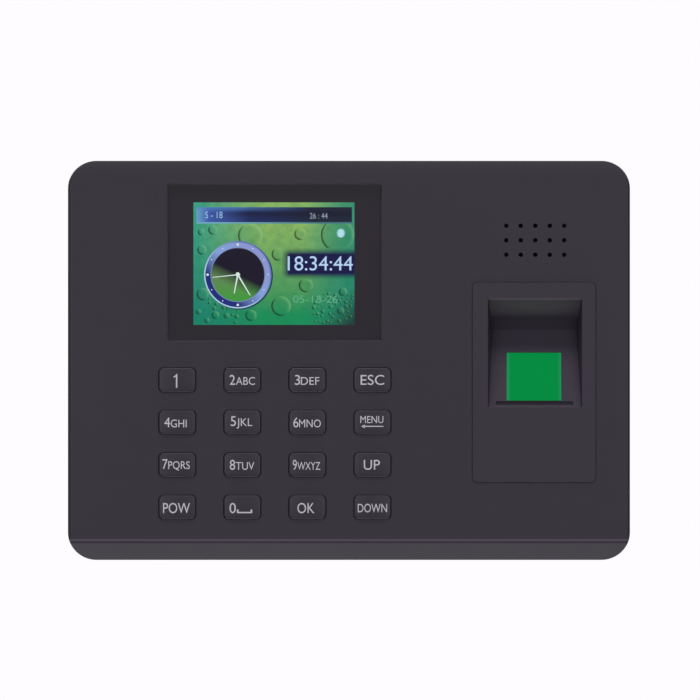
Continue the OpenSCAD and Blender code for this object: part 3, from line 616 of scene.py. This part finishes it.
# What is printed on each key: a figure or word and its height, small letters after it,
# the whole width, and how far its middle is from the key's, to the right and up
LEGENDS = {
    "key_1": ("1", 4.6 * MM, "", 1.25 * MM, (-0.6 * MM, -0.3 * MM)),
    "key_2": ("2", DIGIT, "ABC", 8.5 * MM, (0, 0)),
    "key_3": ("3", DIGIT, "DEF", 8.2 * MM, (-0.1 * MM, 0)),
    "key_esc": ("ESC", 3.5 * MM, "", 7.9 * MM, (0, 0)),
    "key_4": ("4", DIGIT, "GHI", 7.5 * MM, (-0.6 * MM, 0)),
    "key_5": ("5", DIGIT, "JKL", 7.2 * MM, (-0.3 * MM, 0)),
    "key_6": ("6", DIGIT, "MNO", 9.2 * MM, (-0.1 * MM, 0)),
    "key_menu": ("MENU", 2.5 * MM, "", 7.7 * MM, (-0.2 * MM, 0.1 * MM)),
    "key_7": ("7", DIGIT, "PQRS", 9.2 * MM, (-0.4 * MM, 0)),
    "key_8": ("8", DIGIT, "TUV", 8.2 * MM, (-0.1 * MM, 0)),
    "key_9": ("9", DIGIT, "WXYZ", 9.2 * MM, (-0.3 * MM, 0)),
    "key_up": ("UP", 3.5 * MM, "", 5.4 * MM, (-0.2 * MM, 0)),
    "key_pow": ("POW", 3.6 * MM, "", 9.0 * MM, (-0.25 * MM, -0.25 * MM)),
    "key_0": ("0", 3.6 * MM, "", 7.6 * MM, (-0.5 * MM, -0.25 * MM)),
    "key_ok": ("OK", 3.6 * MM, "", 5.7 * MM, (-0.5 * MM, -0.25 * MM)),
    "key_down": ("DOWN", 3.0 * MM, "", 9.8 * MM, (0, -0.25 * MM)),
}


def stroke(bm, x0, z0, x1, z1, width=INK_STROKE):
    """A straight printed line between two points."""
    a, b = Vector((x0, 0, z0)), Vector((x1, 0, z1))
    along = (b - a).normalized()
    side = Vector((-along.z, 0, along.x)) * width / 2
    bm.faces.new([bm.verts.new(p) for p in (a + side, b + side, b - side, a - side)])


def merge(target, source, dx=0.0, dz=0.0):
    """Adds one flat bmesh to another, moved in X and Z."""
    copied = [target.verts.new(v.co + Vector((dx, 0, dz))) for v in source.verts]
    source.verts.index_update()
    for f in source.faces:
        target.faces.new([copied[v.index] for v in f.verts])
    source.free()


def one_shape(height):
    """The figure 1 with its flag, which the built-in letters lack."""
    bm = bmesh.new()
    width = 0.11 * height
    outline = [
        (0, 0), (width, 0), (width, height), (0.4 * width, height), (-0.06 * height, 0.88 * height),
        (-0.17 * height, 0.82 * height), (-0.17 * height, 0.73 * height), (0, 0.8 * height),
    ]
    bm.faces.new([bm.verts.new((x, 0, z)) for x, z in outline])
    bmesh.ops.triangulate(bm, faces=bm.faces)
    return bm


def legend_shape(node):
    """A key's printed shape, lying flat, before it is laid on the key."""
    word, height, letters, width, _ = LEGENDS[node]
    bm = bmesh.new()
    merge(bm, one_shape(height) if word == "1" else text_mesh(word, height))
    if letters:
        tail = text_mesh(letters, LETTER)
        merge(bm, tail, extent(bm, 0)[1] + LEGEND_GAP - extent(tail, 0)[0])
    low, high = extent(bm, 0)
    if node == "key_0":
        left, right = high + 0.5 * MM, high + 4.2 * MM
        stroke(bm, left, 0.2 * MM, right, 0.2 * MM, 1.3 * INK_STROKE)
        for x in (left, right):
            stroke(bm, x, 0, x, 1.2 * MM, 1.3 * INK_STROKE)
        low, high = extent(bm, 0)
    for v in bm.verts:
        v.co.x = (v.co.x - low) * width / (high - low)
    if node == "key_menu":
        z = -1.1 * MM
        stroke(bm, 0.8 * MM, z, width, z)
        bm.faces.new([bm.verts.new(p) for p in (
            (0.3 * MM, 0, z), (1.5 * MM, 0, z + 0.6 * MM), (1.5 * MM, 0, z - 0.6 * MM))])
    return bm


def cut_small(bm):
    """Cuts a flat shape along a square grid, so that it can follow a curve."""
    for axis, across in ((0, Vector((1, 0, 0))), (2, Vector((0, 0, 1)))):
        low, high = extent(bm, axis)
        for i in range(1, math.ceil((high - low) / INK_PATCH)):
            parts = bm.verts[:] + bm.edges[:] + bm.faces[:]
            bmesh.ops.bisect_plane(bm, geom=parts, plane_co=across * (low + i * INK_PATCH), plane_no=across)


def make_legend(node):
    """Ink on the key's crown: the letters follow its curve, a hair above it."""
    top_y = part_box(node)[0].y
    cx, _, cz = centre(node)
    bm = legend_shape(node)
    cut_small(bm)
    x_low, x_high = extent(bm, 0)
    z_low, z_high = extent(bm, 2)
    shift = LEGENDS[node][4]
    for v in bm.verts:
        dx = v.co.x - (x_low + x_high) / 2 + shift[0]
        dz = v.co.z - (z_low + z_high) / 2 + shift[1]
        v.co = Vector((cx + dx, crown_y(top_y, dx, dz) - INK_LIFT, cz + dz))
    mesh = flat_mesh(bm, node + "_legend")
    new_piece(node + "_legend", mesh, MATERIALS["legend_ink"], node)


# ---------------------------------------------------------------- the picture on the screen

PICTURE_MARGIN = (3.95 * MM, 4.4 * MM)      # the panel's border round its lit area
LAYER = 0.02 * MM                           # each part of the picture lies this far in front of the last


class Picture:
    """The lit area: turns millimetres from its middle into places on the panel."""

    def __init__(self):
        low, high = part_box("lcd_panel")
        self.x, self.z = (low.x + high.x) / 2, (low.z + high.z) / 2
        self.front = low.y
        self.width = high.x - low.x - 2 * PICTURE_MARGIN[0]
        self.height = high.z - low.z - 2 * PICTURE_MARGIN[1]

    def point(self, x, z, layer):
        return (self.x + x * MM, self.front - layer * LAYER, self.z + z * MM)


def picture_place(t, picture):
    """X and Z in millimetres from the picture's middle."""
    x, _, z = t.split(t.place())
    x = t.maths("DIVIDE", t.maths("SUBTRACT", x, picture.x), MM)
    z = t.maths("DIVIDE", t.maths("SUBTRACT", z, picture.z), MM)
    return x, z


def wallpaper_colour(t, picture):
    """Leaf green: yellower at the top middle, teal at the sides, deep along the bottom."""
    x, z = picture_place(t, picture)
    up = t.remap(z, -17, 13)
    middle = t.mix(up, glow(4, 140, 88), glow(136, 180, 98))
    side = t.mix(up, glow(22, 128, 106), glow(62, 158, 128))
    sideways = t.maths("ABSOLUTE", t.maths("SUBTRACT", x, 3.0))
    colour = t.mix(t.remap(sideways, 7, 28), middle, side)
    colour = t.mix(t.remap(x, 10, 25, 0, 0.6), colour, glow(16, 130, 104))
    corner = t.remap(t.maths("SUBTRACT", x, z), 34, 45)
    colour = t.mix(corner, colour, glow(36, 66, 62))
    blotch = t.noise(2.2 * MM, 3)
    return t.mix(t.remap(blotch, 0.4, 0.75, 0, 0.3), colour, glow(20, 112, 80))


def flat_piece(name, picture, outline, layer, material):
    """A flat shape on the picture, from points in millimetres."""
    bm = bmesh.new()
    bm.faces.new([bm.verts.new(picture.point(x, z, layer)) for x, z in outline])
    new_piece(name, flat_mesh(bm, name), material)


def rectangle(x0, z0, x1, z1):
    return [(x0, z0), (x1, z0), (x1, z1), (x0, z1)]


def arc(cx, cz, radius, start=0.0, end=360.0, steps=72):
    span = range(steps if end - start >= 360 else steps + 1)
    angles = [math.radians(start + (end - start) * i / steps) for i in span]
    return [(cx + radius * math.cos(a), cz + radius * math.sin(a)) for a in angles]


def make_wallpaper(picture):
    t = Tree("wallpaper")
    half = (picture.width / 2 / MM, picture.height / 2 / MM)
    material = lit(t, wallpaper_colour(t, picture))
    flat_piece("picture_wallpaper", picture, rectangle(-half[0], -half[1], half[0], half[1]), 1, material)


HEADER = (-25.9, 13.9, 26.1, 18.9)         # left, bottom, right and top, in millimetres
HEADER_EDGE = (-25.9, 13.4, 26.1, 13.9)


def make_header(picture):
    """The dark status bar, pale blue at its left end, with a pale lower edge."""
    t = Tree("header_bar")
    x, z = picture_place(t, picture)
    colour = t.mix(t.remap(x, -25.9, -22), glow(104, 158, 196), glow(66, 92, 168))
    colour = t.mix(t.remap(x, -23, -8), colour, glow(36, 44, 88))
    colour = t.mix(t.remap(x, -4, 14), colour, glow(37, 42, 58))
    streak = t.remap(t.maths("ABSOLUTE", t.maths("SUBTRACT", z, 16.6)), 0.2, 1.6, 1, 0)
    dark = t.maths("MULTIPLY", streak, t.remap(x, -22, -8, 0, 0.55))
    colour = t.mix(dark, colour, glow(28, 26, 44))
    upper = t.maths("MULTIPLY", t.remap(z, 17.2, 18.9), t.remap(x, 12, -14, 0, 0.7))
    colour = t.mix(upper, colour, glow(86, 130, 190))
    flat_piece("picture_header", picture, rectangle(*HEADER), 3, lit(t, colour))
    edge = Tree("header_edge")
    x, z = picture_place(edge, picture)
    colour = edge.mix(edge.remap(x, -20, 14), glow(112, 168, 196), glow(70, 116, 128))
    flat_piece("picture_header_edge", picture, rectangle(*HEADER_EDGE), 3, lit(edge, colour))


GLYPH_LAYER = 6


def glyphs(name, picture, text, height, left, middle_z, colour, width=None):
    """Small lit figures, starting at left, in millimetres."""
    bm = text_mesh(text, height)
    x_low, x_high = extent(bm, 0)
    z_low, z_high = extent(bm, 2)
    stretch = width / (x_high - x_low) if width else 1.0
    for v in bm.verts:
        x = left + (v.co.x - x_low) * stretch
        v.co = Vector(picture.point(x, middle_z + v.co.z - (z_low + z_high) / 2, GLYPH_LAYER))
    new_piece(name, flat_mesh(bm, name), lit(Tree(name), colour))


CLOCK = (-12.1, -3.7)       # the clock's middle, in millimetres from the picture's
CLOCK_RADIUS = 11.3
DIAL_RADIUS = 8.9
RING_STEPS = 96
# Each hand's direction in degrees, length and width
CLOCK_HANDS = ((186, 8.6, 0.4), (259, 6.4, 0.6), (301, 8.0, 0.6))
HAND_TAIL = 0.8
LARGE_DOTS = (90, 180, 270)
SMALL_DOTS = (210, 240, 0, 30, 60, 120, 150, 300, 330)


def clock_place(t, picture):
    """X and Z in millimetres from the clock's middle."""
    x, z = picture_place(t, picture)
    return t.maths("SUBTRACT", x, CLOCK[0]), t.maths("SUBTRACT", z, CLOCK[1])


def ring_piece(name, picture, outer, inner, layer, material):
    bm = bmesh.new()
    loops = []
    for radius in (outer, inner):
        loop = [bm.verts.new(picture.point(x, z, layer)) for x, z in arc(*CLOCK, radius, steps=RING_STEPS)]
        loops.append(loop)
    for i in range(RING_STEPS):
        j = (i + 1) % RING_STEPS
        bm.faces.new((loops[0][j], loops[0][i], loops[1][i], loops[1][j]))
    new_piece(name, flat_mesh(bm, name), material)


def dots(bm, picture, layer, degrees, radius, size):
    """Round dots on a circle round the clock's middle."""
    for angle in map(math.radians, degrees):
        spot = Vector(CLOCK) + Vector((math.cos(angle), math.sin(angle))) * radius
        bm.faces.new([bm.verts.new(picture.point(x, z, layer)) for x, z in arc(*spot, size, steps=12)])


def make_clock_rings(picture):
    """A flat shadow, a ring that is paler at its upper right, and a fine rim on each side of it."""
    shadow = lit(Tree("clock_shadow"), glow(20, 62, 84))
    outline = arc(CLOCK[0] + 0.35, CLOCK[1] - 0.3, CLOCK_RADIUS + 0.1)
    flat_piece("clock_shadow", picture, outline, 4, shadow)
    t = Tree("clock_ring")
    slope = t.maths("ADD", *clock_place(t, picture))
    colour = t.mix(t.remap(slope, -10, 1), glow(34, 48, 118), glow(130, 158, 216))
    colour = t.mix(t.remap(slope, 3, 13), colour, glow(138, 148, 206))
    ring_piece("clock_ring", picture, CLOCK_RADIUS - 0.3, DIAL_RADIUS, 5, lit(t, colour))
    rim = Tree("clock_rim")
    slope = rim.maths("ADD", *clock_place(rim, picture))
    colour = rim.mix(rim.remap(slope, 12, -10), glow(96, 110, 176), glow(168, 200, 226))
    ring_piece("clock_rim", picture, CLOCK_RADIUS, CLOCK_RADIUS - 0.45, 6, lit(rim, colour))
    inner = lit(Tree("clock_inner_rim"), glow(120, 134, 178))
    ring_piece("clock_inner_rim", picture, DIAL_RADIUS + 0.25, DIAL_RADIUS, 6, inner)


def make_clock_dial(picture):
    """A dark dial with a green glint across its lower left."""
    t = Tree("clock_dial")
    dx, dz = clock_place(t, picture)
    glint = t.maths("ADD", t.maths("MULTIPLY", dx, -0.5), t.maths("MULTIPLY", dz, -1.0))
    green = t.mix(t.remap(dz, -1, -8), glow(96, 134, 84), glow(66, 150, 62))
    colour = t.mix(t.remap(glint, -0.2, 5.0), glow(33, 28, 44), green)
    flat_piece("clock_dial", picture, arc(*CLOCK, DIAL_RADIUS), 6, lit(t, colour))


def make_clock_hands(picture):
    """Three tapered hands with a round boss, and the dots on the ring."""
    bm = bmesh.new()
    for angle, length, width in CLOCK_HANDS:
        a = math.radians(angle)
        along = Vector((math.cos(a), math.sin(a)))
        side = Vector((-along.y, along.x)) * width
        start, end = Vector(CLOCK) - along * HAND_TAIL, Vector(CLOCK) + along * length
        corners = (start + side / 2, start - side / 2, end - side / 4, end + side / 4)
        bm.faces.new([bm.verts.new(picture.point(c.x, c.y, 8)) for c in corners])
    bm.faces.new([bm.verts.new(picture.point(x, z, 9)) for x, z in arc(*CLOCK, 0.7, steps=24)])
    middle = (CLOCK_RADIUS + DIAL_RADIUS) / 2
    dots(bm, picture, 7, LARGE_DOTS, middle, 0.42)
    dots(bm, picture, 7, SMALL_DOTS, middle, 0.2)
    white = lit(Tree("clock_white"), glow(214, 228, 222))
    new_piece("clock_hands", flat_mesh(bm, "clock_hands"), white)


def make_clock(picture):
    make_clock_rings(picture)
    make_clock_dial(picture)
    make_clock_hands(picture)


TIME_PANEL = (2.4, -5.3, 26.95, 5.3)        # left, bottom, right and top, in millimetres


def make_time(picture):
    """The digital time on its dark, soft-edged panel, and a faint date under it."""
    t = Tree("time_panel")
    x, z = picture_place(t, picture)
    low_x, low_z, _, high_z = TIME_PANEL
    inside = t.maths("MULTIPLY", t.remap(z, high_z, high_z - 2.2), t.remap(z, low_z, low_z + 2.0))
    inside = t.maths("MULTIPLY", inside, t.remap(x, low_x, low_x + 2.6))
    colour = t.mix(inside, wallpaper_colour(t, picture), glow(24, 30, 72))
    flat_piece("time_panel", picture, rectangle(*TIME_PANEL), 4, lit(t, colour))
    glyphs("time_digits", picture, "18:34:44", 5.0, 4.6, 0.1, glow(178, 206, 240), width=21.8)
    glyphs("date_digits", picture, "05-18-26", 2.6, 6.4, -11.9, glow(92, 170, 130), width=15)
    glyphs("header_left", picture, "5 - 18", 2.3, -23.0, 16.3, glow(150, 190, 226))
    glyphs("header_right", picture, "26 : 44", 2.0, 12.0, 16.0, glow(150, 162, 180))


# Water drops on the wallpaper: middle and radius, in millimetres from the picture's middle
DROPS = (
    (21.3, 9.6, 5.6), (-7.9, 9.4, 4.1), (8.8, 9.9, 2.0), (-20.4, 11.3, 1.6), (-24.4, 10.6, 1.1),
    (-24.1, 4.6, 1.6), (1.4, 3.2, 2.2), (10.7, -7.2, 2.4), (2.4, -14.2, 3.3), (-23.8, -10.2, 2.1),
    (-7.7, -17.3, 1.9), (-19.6, -17.2, 1.3), (-22.4, -19.0, 0.9), (-25.2, -16.1, 0.9),
    (-15.9, -17.4, 1.0), (23.1, -9.4, 1.4), (22.3, -15.8, 1.2),
)
SMALL_DROPS = 64
DROP_SEED = 7
DROP_STEPS = 32
DROP_GLINT = (22.4, 10.2)   # the middle of the one bright glint, on the largest drop
DROP_GLINT_RADIUS = 1.5


def drop_places():
    """The large drops, and small ones scattered along the picture's foot that touch no other."""
    rng = random.Random(DROP_SEED)
    small = []
    while len(small) < SMALL_DROPS:
        x = rng.uniform(13, 26.3) if rng.random() < 0.75 else rng.uniform(-26, -12)
        z = rng.uniform(-19.8, -10)
        r = rng.uniform(0.28, 0.75)
        if all(math.hypot(x - a, z - b) > r + c + 0.1 for a, b, c in list(DROPS) + small):
            small.append((x, z, r))
    return list(DROPS) + small


def make_drops(picture):
    """Water drops: each has a dark crescent at its lower left and a light one at its upper right."""
    t = Tree("water_drops")
    shape = t.node("ShaderNodeAttribute", attribute_name="dome").outputs["Vector"]
    towards = t.node("ShaderNodeVectorMath", {0: shape, 1: (0.85, 0.5, 0.0)}, operation="DOT_PRODUCT")
    towards = towards.outputs["Value"]
    from_rim = t.split(shape)[2]
    base = wallpaper_colour(t, picture)
    dark = t.maths("MULTIPLY", t.remap(from_rim, 0.85, 0.1), t.remap(towards, 0.05, -0.6))
    light = t.maths("MULTIPLY", t.remap(from_rim, 1.4, 0.3), t.remap(towards, 0.1, 0.8))
    colour = t.mix(dark, base, glow(4, 44, 34))
    colour = t.mix(t.maths("MULTIPLY", light, 0.25), colour, glow(160, 214, 150))
    core = t.maths("MULTIPLY", t.remap(from_rim, 0.2, 1.4), 0.16)
    colour = t.mix(core, colour, glow(24, 128, 84))
    material = lit(t, colour)
    bm = bmesh.new()
    dome = bm.verts.layers.float_vector.new("dome")
    for cx, cz, r in drop_places():
        loops = []
        for share in (1.0, 0.9, 0.78, 0.6, 0.35, 0.12):
            loop = []
            for x, z in arc(cx, cz, r * share, steps=DROP_STEPS):
                v = bm.verts.new(picture.point(x, z, 2))
                v[dome] = ((x - cx) / r, (z - cz) / r, r * (1 - share))
                loop.append(v)
            loops.append(loop)
        for a, b in zip(loops, loops[1:]):
            for i in range(DROP_STEPS):
                j = (i + 1) % DROP_STEPS
                bm.faces.new((a[i], a[j], b[j], b[i]))
        bm.faces.new(loops[-1])
    new_piece("water_drops", flat_mesh(bm, "water_drops"), material)


def make_drop_glint(picture):
    """The bright glint on the largest drop."""
    spark = Tree("drop_glint")
    x, z = picture_place(spark, picture)
    dx = spark.maths("DIVIDE", spark.maths("SUBTRACT", x, DROP_GLINT[0]), 1.6)
    dz = spark.maths("DIVIDE", spark.maths("SUBTRACT", z, DROP_GLINT[1]), 2.2)
    squares = spark.maths("ADD", spark.maths("MULTIPLY", dx, dx), spark.maths("MULTIPLY", dz, dz))
    away = spark.maths("SQRT", squares)
    colour = spark.mix(spark.remap(away, 1.0, 0.5), wallpaper_colour(spark, picture), glow(176, 222, 236))
    outline = arc(*DROP_GLINT, DROP_GLINT_RADIUS, steps=DROP_STEPS)
    flat_piece("drop_glint", picture, outline, 4, lit(spark, colour))


# ---------------------------------------------------------------- CAD nodes that stay

WELD = 0.001 * MM
SHARP = math.radians(30)    # edges that turn more than this stay sharp or are rounded


def weld(piece):
    smooth(piece.data)
    piece.modifiers.new("weld", "WELD").merge_threshold = WELD


def round_edges(node, width):
    """Rounds a CAD node's sharp edges a little, as a pressing has them."""
    piece = frame["nodes"][node]
    weld(piece)
    flat = piece.modifiers.new("flat_faces", "DECIMATE")
    flat.decimate_type = "DISSOLVE"
    flat.angle_limit = math.radians(1)
    bevel = piece.modifiers.new("edges", "BEVEL")
    bevel.width = width
    bevel.segments = 2
    bevel.limit_method = "ANGLE"
    bevel.angle_limit = SHARP
    bevel.use_clamp_overlap = False
    normals = piece.modifiers.new("normals", "WEIGHTED_NORMAL")
    normals.weight = 80


def shade_by_angle(node):
    """Smooth shading over a CAD node's curves, sharp at its edges."""
    piece = frame["nodes"][node]
    weld(piece)
    split = piece.modifiers.new("edges", "EDGE_SPLIT")
    split.split_angle = SHARP


def dress_cad_nodes():
    """Gives each CAD node the material of its slot, and the visible mouldings smooth curves."""
    slots = {s["node"]: s["material_slot"] for s in frame["record"]["subparts"]}
    for name, piece in frame["nodes"].items():
        material = MATERIALS.get(slots[name])
        if material is None:
            continue
        piece.data.materials.clear()
        piece.data.materials.append(material)
    for name in ("front_cover", "rear_cover", "sensor_bezel", "screen_lens"):
        shade_by_angle(name)
    round_edges("wall_plate", 0.2 * MM)


make_camera()
make_world()
make_floor()
make_lamps()
make_materials()
for key in LEGENDS:
    make_key(key)
    make_legend(key)
picture = Picture()
make_wallpaper(picture)
make_drops(picture)
make_drop_glint(picture)
make_header(picture)
make_clock(picture)
make_time(picture)
dress_cad_nodes()
bpy.context.scene.view_settings.view_transform = "Standard"
